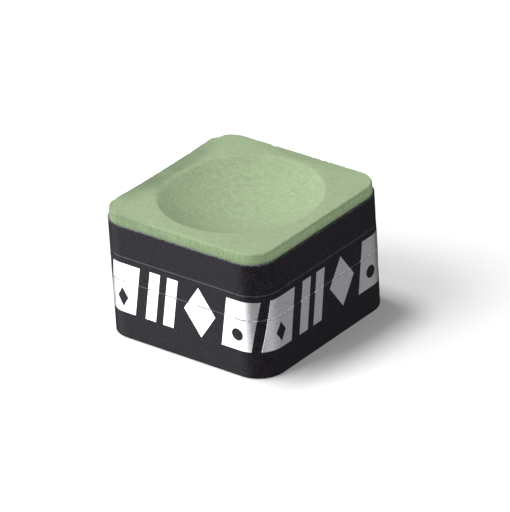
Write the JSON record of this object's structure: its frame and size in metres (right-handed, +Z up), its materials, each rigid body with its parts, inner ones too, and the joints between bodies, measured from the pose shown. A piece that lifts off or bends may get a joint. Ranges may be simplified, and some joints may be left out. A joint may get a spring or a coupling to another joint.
{
  "type": "cue chalk cube",
  "caption": "Squat green block of cue chalk with rounded corners and a shallow dish on top, in a black wrap label with silver marks and tear-off bands.",
  "frame": {"origin": "middle of the base, on the surface that the block stands on", "axes": "+Z up towards the dish, -Y the front side, +X the right side; the label's seam is on the back side, +Y"},
  "size_m": [0.0226, 0.0228, 0.0152],
  "materials": {
    "chalk": "matte, dusty, fine grained",
    "label_adhesive": "dull",
    "label_paper": "matte, bare cut edge",
    "label_film": "satin black print",
    "silver_foil": "bright stamped foil",
    "label_ties": "satin black print"
  },
  "bodies": {
    "block": {"chalk_block": "chalk", "lower_band_adhesive": "label_adhesive", "lower_band_paper": "label_paper", "lower_band_film": "label_film", "lower_band_foil": "silver_foil"},
    "middle_band": {"middle_band_adhesive": "label_adhesive", "middle_band_paper": "label_paper", "middle_band_film": "label_film", "middle_band_foil": "silver_foil", "lower_perforation_ties": "label_ties"},
    "upper_band": {"upper_band_adhesive": "label_adhesive", "upper_band_paper": "label_paper", "upper_band_film": "label_film", "upper_perforation_ties": "label_ties"}
  },
  "joints": [
    {"name": "middle_band_tear_off", "type": "slide", "parent": "block", "child": "middle_band", "axis": [0, 0, 1], "range_m": [0, 0.009]},
    {"name": "upper_band_tear_off", "type": "slide", "parent": "middle_band", "child": "upper_band", "axis": [0, 0, 1], "range_m": [0, 0.006]}
  ]
}
